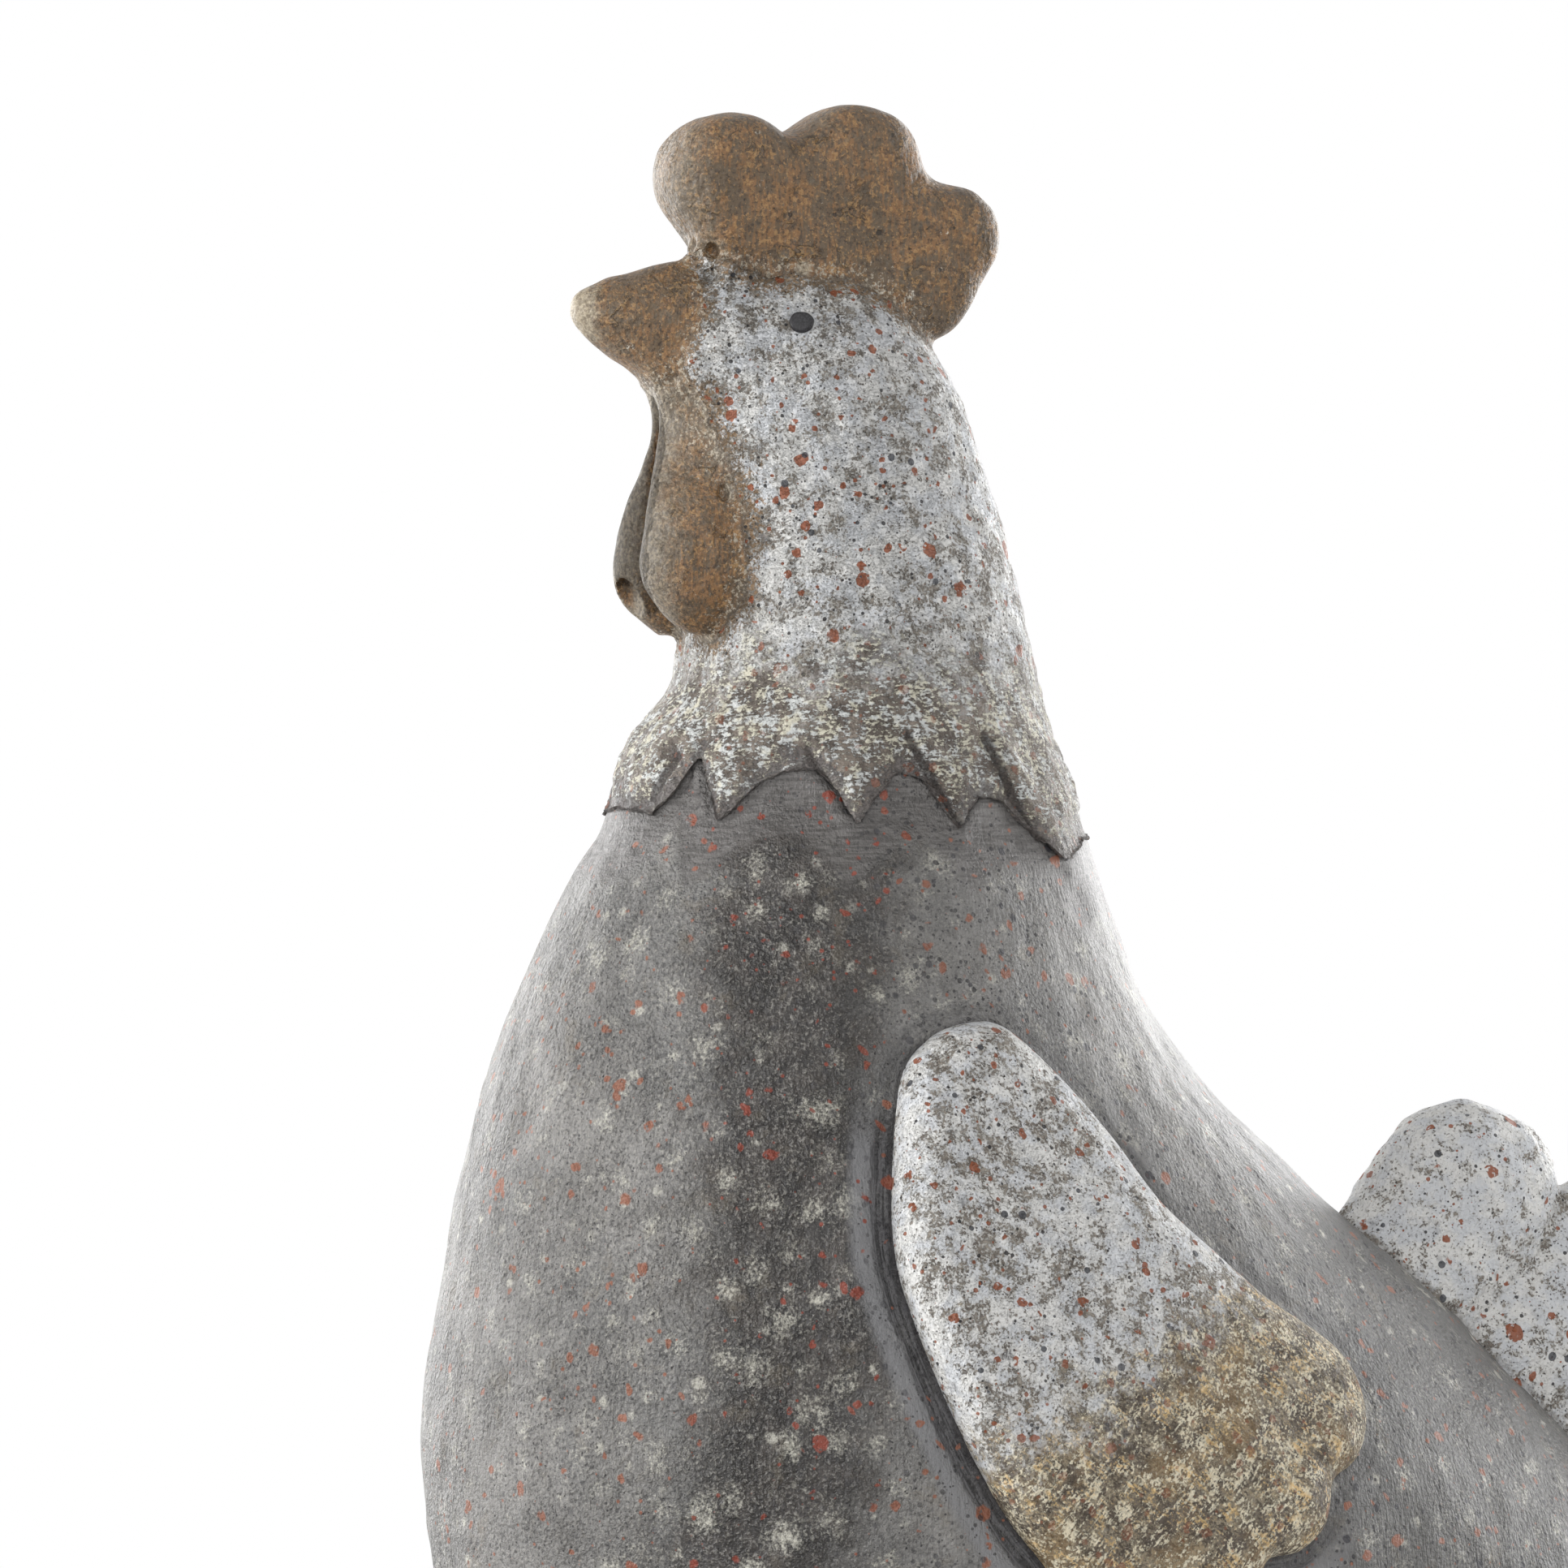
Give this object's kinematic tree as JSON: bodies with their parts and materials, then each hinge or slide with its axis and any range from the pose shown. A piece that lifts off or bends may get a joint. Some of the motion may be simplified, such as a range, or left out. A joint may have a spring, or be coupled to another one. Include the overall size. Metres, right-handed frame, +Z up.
{
  "type": "rooster garden sculpture",
  "caption": "Hollow cast rooster garden figure with a pointed hackle, lobed comb, beak, wattles, raised wings and lobed tail, on a flat base with a drain hole.",
  "frame": {"origin": "centre of the drain hole in the underside of the base, on the ground", "axes": "+Z up; -X is the way the rooster faces, +X the tail; -Y is its left side and +Y its right side"},
  "size_m": [0.4014, 0.2568, 0.4899],
  "materials": {
    "body_grey": "satin",
    "head_white": "satin",
    "wing_white": "satin",
    "tail_white": "satin",
    "comb_brown": "satin",
    "beak_brown": "satin",
    "wattle_brown": "satin",
    "eye_black": "gloss",
    "base_clay": "matte",
    "fibre_tape": "matte",
    "rod_steel": "satin"
  },
  "bodies": {
    "root": {"body_shell_left": "body_grey", "body_shell_right": "body_grey", "seam_tape": "fibre_tape", "base_plate": "base_clay", "head_and_hackle": "head_white", "comb": "comb_brown", "beak": "beak_brown", "wattle_left": "wattle_brown", "wattle_right": "wattle_brown", "eye_left": "eye_black", "eye_right": "eye_black", "wing_left": "wing_white", "wing_right": "wing_white", "tail_lobe_upper": "tail_white", "tail_lobe_middle": "tail_white", "tail_lobe_lower": "tail_white", "comb_rods": "rod_steel", "face_rods": "rod_steel", "wing_rods": "rod_steel", "tail_rods": "rod_steel"}
  },
  "joints": []
}
